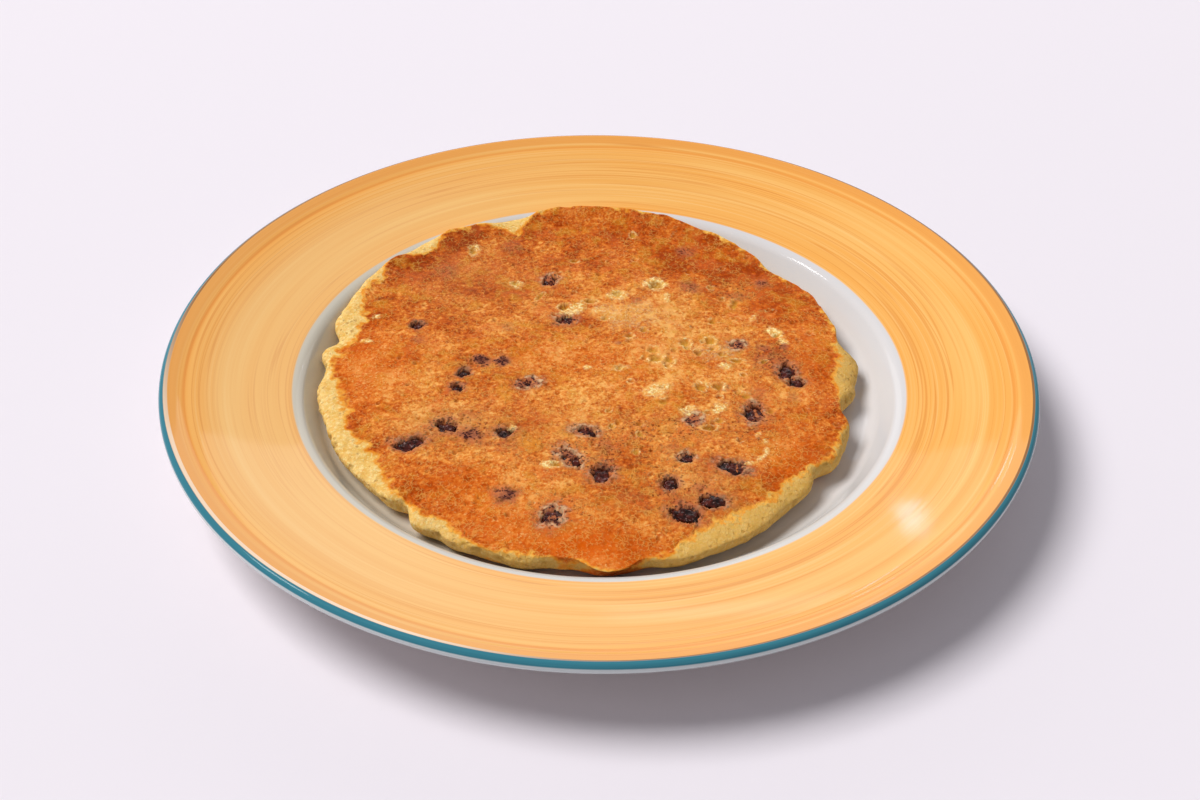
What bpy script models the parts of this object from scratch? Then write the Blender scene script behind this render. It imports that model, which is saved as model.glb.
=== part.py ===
"""A chocolate chip pancake lying in the well of a wide-rimmed dinner plate.

The plate is one glazed piece, turned from a section. The pancake is one piece too: a flat top
crust, the face that was fried last, on a pale sponge that swells out round the side. Its
chips are baked into it, so they are joined to the pancake's solid in the hollows that they
lie in. The origin is on the table under the middle of the plate, with +Z up, and the photo
was taken from the -Y side. Lengths are in metres; MM turns millimetres into them.
"""

import math

import bpy
from mathutils import Matrix, Vector, noise

MM = 0.001

# Plate: an ordinary dinner plate, 27 cm across, with a wide rim round a shallow well
PLATE_RADIUS = 135 * MM
PLATE_HEIGHT = 24 * MM
PLATE_STEPS = 72
FLOOR_HEIGHT = 6.2 * MM
FLOOR_RADIUS = 81.3 * MM
FILLET_RADIUS = 9 * MM
WALL_ANGLE = 52
LIP_RADIUS = 5 * MM
RIM_ANGLE = 12
RIM_DIP = 0.4 * MM
EDGE_ROLL_RADIUS = 1.7 * MM
RIM_THICKNESS = 4.4 * MM
FOOT_RADIUS = 81 * MM
FOOT_WIDTH = 4.4 * MM
FOOT_DEPTH = 2.4 * MM

# Pancake: about 17 cm across, and 9.5 mm thick in the middle
PANCAKE_MIDDLE = Vector((-3.5 * MM, 2.0 * MM))
PANCAKE_RADIUS = 84 * MM
PANCAKE_THICKNESS = 9.5 * MM
BULGE_HEIGHT = 5.4 * MM
UNDERCUT = 6 * MM
CRUST_INSET = 1.0 * MM
REST_GAP = 0.4 * MM
HEADINGS = 120
TOP_RINGS, SHOULDER_RINGS, UNDER_RINGS, BASE_RINGS = 10, 4, 4, 4

# Where the batter ran out or drew in: heading in degrees from +X, half width, reach in mm
EDGE_LOBES = (
    (30, 12, 1.8), (42, 7, -1.6), (84, 55, 5.6), (108, 9, -1.2), (135, 45, 5.6),
    (163, 8, 1.2), (169, 6, -3.2), (174, 5, 1.0), (181, 6, -1.4), (197, 20, 0.7),
    (231, 5, -3.0), (236, 6, 2.0), (255, 28, 3.2), (272, 80, 1.1), (275, 8, 4.0), (290, 18, 3.6),
    (306, 14, 2.0), (326, 5, -2.4), (332, 7, 0.9), (340, 7, 0.6), (348, 7, -3.6), (4, 8, 1.9),
    (12, 6, -1.4),
)
# Where the brown crust stops short of the side, and pale sponge shows, or hangs past it
CRUST_LOBES = (
    (1, 13, 7.2), (109, 7, 8.6), (118, 8, 2.0), (131, 8, 6.2), (148, 14, 3.2), (163, 14, 8.6),
    (174, 7, 3.8), (192, 18, 6.8), (201, 9, 2.4), (213, 14, 8.8), (224, 6, 3.0), (240, 11, 5.0),
    (274, 10, -4.8), (297, 17, 7.8), (310, 10, 4.4), (319, 8, 4.4), (338, 10, 1.6), (351, 8, 1.8),
)
# How far the top sinks at the edge
DROOP = 1.0 * MM
DROOP_LOBES = ((275, 80, 1.4), (90, 70, -0.7))

# Chips that show: x, y, length, width in mm, and the turn of the long side in degrees
CHIPS = (
    (-59, 23.5, 3.4, 2.8, 80), (-17, 50, 5.0, 4.0, 60), (-11, 27.5, 5.5, 4.0, 10),
    (-42.5, -2, 3.6, 2.6, 50), (-44, -9.5, 3.6, 2.8, 0), (-22, -6, 6.0, 3.8, 20),
    (-46, -28.5, 6.0, 4.4, -40), (-56, -36.5, 8.0, 4.0, 20), (-28.5, -31.5, 5.0, 4.2, 0),
    (-4, -30.5, 7.0, 4.0, -12), (-8.5, -42.5, 8.0, 4.8, -50), (1, -49.5, 6.4, 5.2, 75),
    (-13, -69, 7.0, 5.6, 70), (59, 1.5, 6.6, 5.0, 85), (61.5, -4, 4.4, 3.4, 0),
    (47.5, -20, 8.0, 5.0, 80), (28.5, -24, 5.0, 3.8, 60), (26, -42, 4.0, 3.6, 0),
    (39, -46, 8.0, 4.8, -15), (21, -53.5, 4.6, 3.6, 80), (33.5, -60.5, 6.4, 3.8, -5),
    (25, -65.5, 7.4, 4.6, -20), (44, 15, 4.4, 3.6, 30),
)
CHIP_HEIGHT = 3.2 * MM
CHIP_SINK = 0.1 * MM
# Open bubbles: x, y, length, width in mm, and turn
BUBBLES = (
    (18.5, 48, 6.0, 5.4, 70), (33.5, -27.5, 4.6, 3.4, 10), (-13, -46.5, 4.2, 3.0, 0),
    (-12, 34, 4.6, 3.8, 40), (-44, 68, 4.8, 3.2, 70), (57, 21, 6.0, 3.6, -30),
)
HOLLOW_MARGIN = 1.1 * MM
HOLLOW_DEPTH = 1.5 * MM


def clear_scene():
    for leftover in list(bpy.data.objects):
        bpy.data.objects.remove(leftover, do_unlink=True)


def new_collection(name):
    made = bpy.data.collections.new(name)
    bpy.context.scene.collection.children.link(made)
    return made


def new_material(name, colour, roughness):
    made = bpy.data.materials.new(name)
    made.use_nodes = True
    shader = made.node_tree.nodes["Principled BSDF"]
    shader.inputs["Base Color"].default_value = (*colour, 1)
    shader.inputs["Roughness"].default_value = roughness
    shader.inputs["Metallic"].default_value = 0
    return made


def arc(centre, radius, start, end, steps):
    """Points on an arc of the plate's section, from start to end degrees, both included."""
    points = []
    for step in range(steps + 1):
        angle = math.radians(start + (end - start) * step / steps)
        points.append((centre[0] + radius * math.cos(angle), centre[1] + radius * math.sin(angle)))
    return points


def upper_section():
    """The plate's eating surface, from the middle of the floor out to the crest of its edge."""
    fillet = arc((FLOOR_RADIUS, FLOOR_HEIGHT + FILLET_RADIUS), FILLET_RADIUS, -90, WALL_ANGLE - 90, 4)
    edge_middle = (PLATE_RADIUS - EDGE_ROLL_RADIUS, PLATE_HEIGHT - EDGE_ROLL_RADIUS)
    crest_start = arc(edge_middle, EDGE_ROLL_RADIUS, 110, 110, 1)[0]
    # the lip rolls from the wall's slope to the rim's, and both of its ends follow from that
    rise = math.tan(math.radians(RIM_ANGLE))
    steep = math.tan(math.radians(WALL_ANGLE))
    foot = fillet[-1]
    reach = (crest_start[1] - foot[1] - (crest_start[0] - foot[0]) * rise) / (steep - rise)
    corner = (foot[0] + reach, foot[1] + reach * steep)
    half_turn = math.radians(WALL_ANGLE - RIM_ANGLE) / 2
    bite = LIP_RADIUS * math.tan(half_turn)
    wall = math.radians(WALL_ANGLE)
    start = (corner[0] - bite * math.cos(wall), corner[1] - bite * math.sin(wall))
    lip_middle = (start[0] + LIP_RADIUS * math.sin(wall), start[1] - LIP_RADIUS * math.cos(wall))
    lip = arc(lip_middle, LIP_RADIUS, 90 + WALL_ANGLE, 90 + RIM_ANGLE, 3)
    rim = []
    for share in (0.3, 0.65, 0.92):
        across = lip[-1][0] + (crest_start[0] - lip[-1][0]) * share
        up = lip[-1][1] + (crest_start[1] - lip[-1][1]) * share
        rim.append((across, up - RIM_DIP * math.sin(math.pi * share)))
    return [(0, FLOOR_HEIGHT), (0.6 * FLOOR_RADIUS, FLOOR_HEIGHT), *fillet, *lip, *rim]


def lower_section(lip_across, lip_up):
    """From the crest of the edge, round it and back along the underside and the foot ring."""
    middle = (PLATE_RADIUS - EDGE_ROLL_RADIUS, PLATE_HEIGHT - EDGE_ROLL_RADIUS)
    edge = arc(middle, EDGE_ROLL_RADIUS, 110, -70, 8)
    rise = math.tan(math.radians(RIM_ANGLE))
    outer = (PLATE_RADIUS - 12 * MM, PLATE_HEIGHT - 2.4 * MM - RIM_THICKNESS)
    inner = (lip_across + 1.5 * MM, outer[1] - (outer[0] - lip_across - 1.5 * MM) * rise)
    haunch = (inner[0] - 4.5 * MM, inner[1] - 2.8 * MM)
    foot_inside = FOOT_RADIUS - FOOT_WIDTH
    return [
        *edge, outer, inner, haunch,
        (FOOT_RADIUS + 4.5 * MM, 3.0 * MM), (FOOT_RADIUS + 0.8 * MM, 1.2 * MM),
        (FOOT_RADIUS, 0), (foot_inside, 0), (foot_inside - 1.2 * MM, FOOT_DEPTH), (0, FOOT_DEPTH),
    ]


def height_on_plate(radius):
    """Height of the eating surface at a distance from the plate's axis."""
    section = upper_section()
    for (inside, low), (outside, high) in zip(section, section[1:]):
        if radius <= outside:
            return low + (high - low) * (radius - inside) / (outside - inside)
    return section[-1][1]


def add_plate(collection):
    """The plate's section, turned about its axis by a Screw modifier."""
    upper = upper_section()
    points = upper + lower_section(*upper[-4])
    mesh = bpy.data.meshes.new("plate")
    edges = [(index, index + 1) for index in range(len(points) - 1)]
    mesh.from_pydata([(across, 0, up) for across, up in points], edges, [])
    plate = bpy.data.objects.new("plate", mesh)
    collection.objects.link(plate)
    turn = plate.modifiers.new("turn", "SCREW")
    turn.axis = "Z"
    turn.steps = turn.render_steps = PLATE_STEPS
    turn.use_merge_vertices = True
    turn.merge_threshold = 0.00002
    turn.use_smooth_shade = True
    mesh.materials.append(new_material("glazed stoneware", (0.93, 0.53, 0.18), 0.2))
    return plate


def swell(heading, lobes):
    """The sum of the lobes, in metres, at a heading in degrees."""
    total = 0
    for middle, half_width, reach in lobes:
        off = abs((heading - middle + 180) % 360 - 180) / half_width
        if off < 1:
            total += reach * MM * (0.5 + 0.5 * math.cos(math.pi * off))
    return total


def top_wave(place):
    """The slow unevenness of the top, in metres."""
    return 0.9 * MM * noise.noise(Vector((place.x, place.y, 0)) / (34 * MM))


def lift(place):
    """How far the pancake bends up where it meets the plate's wall, most at the back."""
    past_floor = max(0, place.length - 0.97 * FLOOR_RADIUS) / (12 * MM)
    back = min(1, max(0, place.y - 55 * MM) / (35 * MM))
    return 1.9 * MM * past_floor**2 + 2.2 * MM * back**2


def section_point(heading, ring):
    """Distance from the pancake's middle, height over its base, and the share of a top ring."""
    edge = PANCAKE_RADIUS + swell(heading, EDGE_LOBES)
    crust = edge - CRUST_INSET - swell(heading, CRUST_LOBES)
    droop = DROOP + swell(heading, DROOP_LOBES)
    if ring <= TOP_RINGS:
        share = ring / TOP_RINGS
        return crust * share, PANCAKE_THICKNESS - droop * share**7, 1
    top = PANCAKE_THICKNESS - droop
    ring -= TOP_RINGS
    if ring <= SHOULDER_RINGS:
        angle = math.radians(90 * ring / SHOULDER_RINGS)
        out = crust + (edge - crust) * math.sin(angle)
        return out, BULGE_HEIGHT + (top - BULGE_HEIGHT) * math.cos(angle), math.cos(angle)
    ring -= SHOULDER_RINGS
    if ring <= UNDER_RINGS:
        angle = math.radians(90 * ring / UNDER_RINGS)
        return edge - UNDERCUT * (1 - math.cos(angle)), BULGE_HEIGHT * (1 - math.sin(angle)), 0
    ring -= UNDER_RINGS
    return (edge - UNDERCUT) * (1 - ring / BASE_RINGS), 0, 0


def form_pancake(pancake):
    """Re-forms a ball: each of its meridians becomes one section through the pancake."""
    rings = TOP_RINGS + SHOULDER_RINGS + UNDER_RINGS + BASE_RINGS
    for vertex in pancake.data.vertices:
        ball = vertex.co.normalized()
        heading = math.degrees(math.atan2(ball.y, ball.x))
        ring = round(math.acos(max(-1, min(1, ball.z))) / math.pi * rings)
        out, up, topness = section_point(heading, ring)
        turn = math.radians(heading)
        place = PANCAKE_MIDDLE + Vector((out * math.cos(turn), out * math.sin(turn)))
        up += FLOOR_HEIGHT + REST_GAP + lift(place) + topness * top_wave(place)
        up = max(up, height_on_plate(place.length) + REST_GAP)
        vertex.co = (place.x, place.y, up)


def top_height(x, y):
    """Height of the pancake's top crust away from its edge."""
    place = Vector((x, y))
    return FLOOR_HEIGHT + REST_GAP + PANCAKE_THICKNESS + lift(place) + top_wave(place)


def add_lump(collection, name, length, width, depth, place, turn, detail):
    """An egg-shaped lump with its long side turned, as a chip or as the cutter of a hollow."""
    bpy.ops.mesh.primitive_ico_sphere_add(subdivisions=detail, radius=1)
    lump = bpy.context.object
    lump.name = name
    lump.data.transform(Matrix.Diagonal((length / 2, width / 2, depth / 2, 1)))
    lump.data.transform(Matrix.Rotation(math.radians(turn), 4, "Z"))
    lump.location = place
    for held_in in lump.users_collection:
        held_in.objects.unlink(lump)
    collection.objects.link(lump)
    return lump


def join_all(target, collection, operation):
    """One Boolean with every object of a collection, applied, and the objects removed."""
    boolean = target.modifiers.new(operation.lower(), "BOOLEAN")
    boolean.operation = operation
    boolean.operand_type = "COLLECTION"
    boolean.collection = collection
    boolean.solver = "MANIFOLD"
    bpy.context.view_layer.update()
    graph = bpy.context.evaluated_depsgraph_get()
    joined = bpy.data.meshes.new_from_object(target.evaluated_get(graph))
    target.modifiers.clear()
    target.data = joined
    for used in list(collection.objects):
        bpy.data.objects.remove(used, do_unlink=True)
    bpy.data.collections.remove(collection)


def add_hollows(pancake):
    """The shallow hollows that the chips lie in, and the open bubbles."""
    cutters = new_collection("hollows")
    for index, (x, y, length, width, turn) in enumerate(CHIPS + BUBBLES):
        place = (x * MM, y * MM, top_height(x * MM, y * MM) + 0.5 * HOLLOW_DEPTH)
        across = (length * MM + 2 * HOLLOW_MARGIN, width * MM + 2 * HOLLOW_MARGIN)
        cutter = add_lump(cutters, f"hollow_{index}", *across, 3 * HOLLOW_DEPTH, place, turn, 2)
        cutter.display_type = "WIRE"
        cutter.hide_render = True
    join_all(pancake, cutters, "DIFFERENCE")


def add_chips(pancake):
    """The chips, each bedded in its hollow with its top about level with the crust."""
    chips = new_collection("chips")
    for index, (x, y, length, width, turn) in enumerate(CHIPS):
        level = top_height(x * MM, y * MM) - CHIP_SINK - CHIP_HEIGHT / 2
        place = (x * MM, y * MM, level)
        add_lump(chips, f"chip_{index}", length * MM, width * MM, CHIP_HEIGHT, place, turn, 2)
    join_all(pancake, chips, "UNION")


def add_pancake(collection):
    rings = TOP_RINGS + SHOULDER_RINGS + UNDER_RINGS + BASE_RINGS
    bpy.ops.mesh.primitive_uv_sphere_add(segments=HEADINGS, ring_count=rings, radius=1)
    pancake = bpy.context.object
    pancake.name = pancake.data.name = "pancake"
    for held_in in pancake.users_collection:
        held_in.objects.unlink(pancake)
    collection.objects.link(pancake)
    form_pancake(pancake)
    add_hollows(pancake)
    add_chips(pancake)
    pancake.data.materials.clear()
    pancake.data.materials.append(new_material("browned batter", (0.62, 0.24, 0.06), 0.6))
    pancake.data.shade_smooth()
    pancake.data.set_sharp_from_angle(angle=math.radians(35))
    return pancake


def main():
    clear_scene()
    served = new_collection("chocolate chip pancake on a plate")
    add_plate(served)
    add_pancake(served)


main()
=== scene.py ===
import math

import bmesh
import bpy
import numpy as np
from mathutils import Matrix, Vector, noise


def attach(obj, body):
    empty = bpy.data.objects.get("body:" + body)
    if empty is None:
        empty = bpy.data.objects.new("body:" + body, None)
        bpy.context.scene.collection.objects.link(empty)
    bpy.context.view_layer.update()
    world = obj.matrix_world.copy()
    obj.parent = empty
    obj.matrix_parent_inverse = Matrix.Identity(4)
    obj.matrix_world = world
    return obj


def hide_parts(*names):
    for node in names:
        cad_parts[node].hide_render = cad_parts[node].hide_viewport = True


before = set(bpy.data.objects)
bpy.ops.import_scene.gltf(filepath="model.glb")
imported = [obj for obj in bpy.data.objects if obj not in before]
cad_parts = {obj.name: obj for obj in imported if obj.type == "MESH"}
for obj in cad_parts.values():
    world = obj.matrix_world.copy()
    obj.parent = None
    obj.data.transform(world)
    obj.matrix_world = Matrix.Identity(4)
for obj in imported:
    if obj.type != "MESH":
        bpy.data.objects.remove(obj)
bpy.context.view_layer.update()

MM = 0.001


# Plate: a stoneware dinner plate, turned on a jigger wheel, with a wide rim round a shallow
# well and a foot ring under it. The rim is banded in orange slip with a loaded brush as the
# plate spins, which leaves fine rings in it, the edge is lined in teal, and all is glazed.
PLATE_RADIUS = 135.0
PLATE_HEIGHT = 24.0
FLOOR_HEIGHT = 6.2
FLOOR_RADIUS = 81.3
FILLET_RADIUS = 9.0
WALL_ANGLE = 52.0
LIP_RADIUS = 5.0
RIM_ANGLE = 12.0
RIM_DIP = 0.4
EDGE_ROLL_RADIUS = 1.7
RIM_THICKNESS = 4.4
FOOT_RADIUS = 81.0
FOOT_WIDTH = 4.4
FOOT_DEPTH = 2.4
PLATE_HEADINGS = 288
BAND_START = 95.6
GROOVE = 127.6
GROOVE_DEPTH = 0.22
# distance from the axis at which the underside bends, below the lip of the well
UNDER_LIP = 96.1


def arc(centre, radius, start, end, steps):
    """Points round an arc of the section, from start to end degrees, both included."""
    turns = np.radians(np.linspace(start, end, steps + 1))
    return [(centre[0] + radius * math.cos(t), centre[1] + radius * math.sin(t)) for t in turns]


def upper_section():
    """The eating surface, from the middle of the floor out to the crest of the edge."""
    fillet = arc((FLOOR_RADIUS, FLOOR_HEIGHT + FILLET_RADIUS), FILLET_RADIUS, -90, WALL_ANGLE - 90, 10)
    edge_middle = (PLATE_RADIUS - EDGE_ROLL_RADIUS, PLATE_HEIGHT - EDGE_ROLL_RADIUS)
    crest = arc(edge_middle, EDGE_ROLL_RADIUS, 110, 110, 1)[0]
    wall, rise = math.radians(WALL_ANGLE), math.tan(math.radians(RIM_ANGLE))
    steep = math.tan(wall)
    foot = fillet[-1]
    reach = (crest[1] - foot[1] - (crest[0] - foot[0]) * rise) / (steep - rise)
    corner = (foot[0] + reach, foot[1] + reach * steep)
    bite = LIP_RADIUS * math.tan(math.radians(WALL_ANGLE - RIM_ANGLE) / 2)
    start = (corner[0] - bite * math.cos(wall), corner[1] - bite * math.sin(wall))
    lip_middle = (start[0] + LIP_RADIUS * math.sin(wall), start[1] - LIP_RADIUS * math.cos(wall))
    lip = arc(lip_middle, LIP_RADIUS, 90 + WALL_ANGLE, 90 + RIM_ANGLE, 8)
    rim = []
    for share in np.linspace(0.04, 0.97, 30):
        across = lip[-1][0] + (crest[0] - lip[-1][0]) * share
        up = lip[-1][1] + (crest[1] - lip[-1][1]) * share
        groove = GROOVE_DEPTH * math.exp(-(((across - GROOVE) / 1.1) ** 2))
        rim.append((across, up - RIM_DIP * math.sin(math.pi * share) - groove))
    floor = [(FLOOR_RADIUS * share, FLOOR_HEIGHT) for share in (0, 0.2, 0.4, 0.6, 0.8, 0.93)]
    return floor + fillet + lip + rim


def lower_section():
    """Round the edge and back along the underside and the foot ring to the middle."""
    middle = (PLATE_RADIUS - EDGE_ROLL_RADIUS, PLATE_HEIGHT - EDGE_ROLL_RADIUS)
    edge = arc(middle, EDGE_ROLL_RADIUS, 110, -70, 18)
    rise = math.tan(math.radians(RIM_ANGLE))
    outer = (PLATE_RADIUS - 12, PLATE_HEIGHT - 2.4 - RIM_THICKNESS)
    inner = (UNDER_LIP, outer[1] - (outer[0] - UNDER_LIP) * rise)
    haunch = (inner[0] - 4.5, inner[1] - 2.8)
    inside = FOOT_RADIUS - FOOT_WIDTH
    return [
        *edge, outer, inner, haunch,
        (FOOT_RADIUS + 4.5, 3.0), (FOOT_RADIUS + 0.8, 1.2),
        (FOOT_RADIUS, 0), (inside, 0), (inside - 1.2, FOOT_DEPTH), (0, FOOT_DEPTH),
    ]


def height_on_plate(radius):
    """Height of the eating surface at distances from the plate's axis."""
    section = np.array(upper_section())
    return np.interp(radius, section[:, 0], section[:, 1])


def shell(name, points, faces, material, smooth=True):
    """A mesh object from points in millimetres."""
    mesh = bpy.data.meshes.new(name)
    mesh.from_pydata([tuple(p) for p in np.asarray(points) * MM], [], faces)
    mesh.validate()
    mesh.polygons.foreach_set("use_smooth", [smooth] * len(mesh.polygons))
    mesh.materials.append(material)
    made = bpy.data.objects.new(name, mesh)
    bpy.context.scene.collection.objects.link(made)
    return made


def turned(name, section, headings, material):
    """A section from axis to axis, turned once round the Z axis into a closed mesh."""
    turns = np.linspace(0, 2 * math.pi, headings, endpoint=False)
    points = [(0, 0, section[0][1])]
    for across, up in section[1:-1]:
        points += [(across * math.cos(t), across * math.sin(t), up) for t in turns]
    points.append((0, 0, section[-1][1]))
    last = len(points) - 1
    rows = len(section) - 2
    faces = []
    for step in range(headings):
        following = (step + 1) % headings
        faces.append((0, 1 + step, 1 + following))
        for row in range(rows - 1):
            near, far = 1 + row * headings, 1 + (row + 1) * headings
            faces.append((near + step, far + step, far + following, near + following))
        near = 1 + (rows - 1) * headings
        faces.append((near + step, last, near + following))
    return shell(name, points, faces, material)


class Shade:
    """A socket in a material's nodes. Sums on it, either way round, add Math nodes."""

    def __init__(self, tree, socket=None):
        self.tree = tree
        self.socket = socket

    def node(self, kind, settings=None, sockets=None, output=0):
        made = self.tree.nodes.new(kind)
        for key, value in (settings or {}).items():
            if key == "stops":
                ramp = made.color_ramp.elements
                while len(ramp) < len(value):
                    ramp.new(0.5)
                for stop, (place, colour) in zip(ramp, value):
                    stop.position, stop.color = place, colour
            else:
                setattr(made, key, value)
        for key, value in (sockets or {}).items():
            if isinstance(value, Shade):
                self.tree.links.new(value.socket, made.inputs[key])
            else:
                made.inputs[key].default_value = value
        return Shade(self.tree, made.outputs[output])

    def sum(self, operation, first, second=0.0, third=0.0):
        return self.node("ShaderNodeMath", {"operation": operation}, {0: first, 1: second, 2: third})

    def __add__(self, other):
        return self.sum("ADD", self, other)

    def __radd__(self, other):
        return self.sum("ADD", other, self)

    def __sub__(self, other):
        return self.sum("SUBTRACT", self, other)

    def __rsub__(self, other):
        return self.sum("SUBTRACT", other, self)

    def __mul__(self, other):
        return self.sum("MULTIPLY", self, other)

    def __rmul__(self, other):
        return self.sum("MULTIPLY", other, self)

    def __truediv__(self, other):
        return self.sum("DIVIDE", self, other)

    def clamped(self):
        return self.node("ShaderNodeClamp", {}, {0: self})

    def between(self, low, high):
        """0 at low, 1 at high, and smooth between them."""
        settings = {"interpolation_type": "SMOOTHSTEP"}
        return self.node("ShaderNodeMapRange", settings, {"Value": self, "From Min": low, "From Max": high})

    def blend(self, share, first, second, mode="MIX"):
        """The first colour, with a share of the second over it."""
        settings = {"data_type": "RGBA", "blend_type": mode}
        return self.node("ShaderNodeMix", settings, {0: share, 6: first, 7: second}, output=2)

    def grain(self, place, scale, detail=2.0, roughness=0.5, output=0):
        sockets = {"Vector": place, "Scale": scale, "Detail": detail, "Roughness": roughness}
        return self.node("ShaderNodeTexNoise", {}, sockets, output)

    def stored(self, name):
        """What the mesh stores at each point under a name."""
        return self.node("ShaderNodeAttribute", {"attribute_name": name}, {}, output=2)


def hue(red, green, blue):
    """A colour as a paint chart gives it, 0 to 255, made linear."""
    parts = []
    for part in (red / 255, green / 255, blue / 255):
        parts.append(part / 12.92 if part <= 0.04045 else ((part + 0.055) / 1.055) ** 2.4)
    return (*parts, 1.0)


def finish_of(name):
    """A new material, its first shader and the start of its expressions."""
    made = bpy.data.materials.new(name)
    made.use_nodes = True
    shader = made.node_tree.nodes["Principled BSDF"]
    return made, shader, Shade(made.node_tree)


def banded_glaze():
    """Slip bands under a clear glaze, placed by distance from the plate's axis."""
    made, shader, flow = finish_of("banded_glaze")
    place = flow.node("ShaderNodeTexCoord", {}, {}, output=3)
    x, y = [flow.node("ShaderNodeSeparateXYZ", {}, {0: place}, output=k) * 1000 for k in range(2)]
    across = flow.sum("SQRT", x * x + y * y)
    east, north = x / (across + 0.01), y / (across + 0.01)

    def rings(spacing, drift, seed, detail=3.0):
        """Brush marks: streaks that run round the plate, spacing mm apart."""
        spot = flow.node(
            "ShaderNodeCombineXYZ", {},
            {0: across / spacing + seed, 1: east * drift + seed, 2: north * drift},
        )
        return flow.grain(spot, 1.0, detail, 0.6)

    sway = rings(40.0, 2.2, 11.0, 1.0)
    fine = rings(0.8, 0.6, 3.0)
    broad = rings(3.2, 0.6, 23.0)
    slow = rings(15.0, 0.9, 41.0, 1.0)
    slip = flow.blend(broad.between(0.3, 0.7), hue(246, 178, 90), hue(252, 194, 110))
    slip = flow.blend(slow.between(0.42, 0.7) * 0.5, slip, hue(250, 168, 66))
    slip = flow.blend(fine.between(0.5, 0.8) * 0.6, slip, hue(255, 208, 136))
    slip = flow.blend((1 - fine.between(0.2, 0.45)) * 0.6, slip, hue(232, 144, 58))
    # a few bristles left long dark hairlines
    lines = 1 - flow.sum("ABSOLUTE", rings(2.4, 0.4, 57.0, 1.0) - 0.5).between(0.0, 0.03)
    slip = flow.blend(lines * slow.between(0.35, 0.6) * 0.6, slip, hue(226, 138, 50))
    # the slip is thicker, so deeper in colour, in the groove and on the bead outside it
    groove = 1 - flow.sum("ABSOLUTE", across - GROOVE + (sway - 0.5) * 0.8).between(0.1, 0.9)
    slip = flow.blend(groove * 0.6, slip, hue(238, 144, 50))
    bead = (across + (sway - 0.5) * 0.6).between(GROOVE + 1.3, GROOVE + 2.4)
    slip = flow.blend(bead * 0.7, slip, hue(240, 162, 76))
    # painted light: the slip is painted paler on the left, where the rim faces away from the light, less so
    # towards the outer edge
    painted_light_left = (0 - east).between(-0.2, 0.9) * 0.4 * (1 - across.between(114.0, 127.0) * 0.8)
    slip = flow.blend(painted_light_left, slip, hue(255, 212, 150))
    white = flow.blend(slow, hue(216, 213, 214), hue(222, 219, 220))
    # painted shade and reflection: the white glaze is darker and warmer on the left, where the well's wall
    # faces away from the light and catches the orange rim, and darker towards the front
    white = flow.blend((0 - east).between(0.0, 0.9) * 0.8, white, hue(208, 200, 180))
    white = flow.blend((0 - north).between(0.3, 1.0) * 0.5, white, hue(206, 202, 190))
    clay = flow.blend(rings(2.0, 3.0, 7.0), hue(214, 208, 198), hue(226, 221, 212))
    banded = (across + (sway - 0.5) * 0.5).between(BAND_START - 0.35, BAND_START + 0.35)
    colour = flow.blend(banded, white, slip)
    # the teal line runs over the roll of the edge, and comes further up it towards the front
    roll = flow.stored("roll")
    inner = 82 - north * 24 + (sway - 0.5) * 24
    outer = 22 + (broad - 0.5) * 16
    teal = flow.blend(rings(0.5, 4.0, 5.0), hue(40, 114, 134), hue(64, 136, 152))
    colour = flow.blend(1 - (roll - inner).between(-7, 7), colour, teal)
    colour = flow.blend(1 - (roll - outer).between(-7, 7), colour, hue(206, 213, 214))
    # between teal and slip a hairline of bare glaze shows at the front, and of brown at the back
    rear = flow.sum("MAXIMUM", north.between(-0.4, 0.3), east.between(-0.4, 0.1))
    reach = 62 - rear * 38
    hair = (roll - inner).between(-4, 4) * (1 - (roll - inner - reach).between(-6, 6))
    bare = flow.blend(rear, hue(254, 230, 204), hue(128, 88, 58))
    colour = flow.blend(hair * 0.85, colour, bare)
    colour = flow.blend(1 - (roll + 66).between(-10, 4), colour, clay)
    flow.tree.links.new(colour.socket, shader.inputs["Base Color"])
    shader.inputs["IOR"].default_value = 1.5
    wear = rings(6.0, 5.0, 17.0).between(0.3, 0.8) * 0.03 + 0.04
    flow.tree.links.new(wear.socket, shader.inputs["Roughness"])
    ripple = rings(1.7, 2.0, 31.0) * 0.5 + flow.grain(place, 55.0, 1.0)
    bump = flow.node("ShaderNodeBump", {}, {"Strength": 0.1, "Distance": 0.00012, "Height": ripple})
    flow.tree.links.new(bump.socket, shader.inputs["Normal"])
    return made


def store(piece, name, values):
    """Keeps one number at each point of a piece, for its material to read."""
    layer = piece.data.attributes.new(name, "FLOAT", "POINT")
    layer.data.foreach_set("value", np.asarray(values, dtype=np.float32))


upper = upper_section()
lower = lower_section()
plate = turned("dinner_plate", upper + lower, PLATE_HEADINGS, banded_glaze())
roll = [180] * len(upper) + list(np.linspace(110, -70, 19)) + [-90] * (len(lower) - 19)
store(plate, "roll", [180, *np.repeat(roll[1:-1], PLATE_HEADINGS), -90])
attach(plate, "root")
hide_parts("plate")


# Pancake: a round of thick batter, fried on both sides in butter. The face on top was fried
# last, so it is flat, brown and finely pitted; the side never touched the pan and stays a
# pale, soft sponge. It bends up where it meets the well's wall. One open form, ring by ring.
PANCAKE_MIDDLE = (-3.5, 2.0)
PANCAKE_RADIUS = 84.0
PANCAKE_THICKNESS = 9.5
BULGE_HEIGHT = 5.4
UNDERCUT = 6.0
CRUST_INSET = 1.0
REST_GAP = 0.4
TOP_RINGS, SHOULDER_RINGS, UNDER_RINGS, BASE_RINGS = 150, 10, 8, 5
HOLLOW_DEPTH = 1.9
PIT_TRIES = 2000
SIDE_PORES = 420
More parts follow.
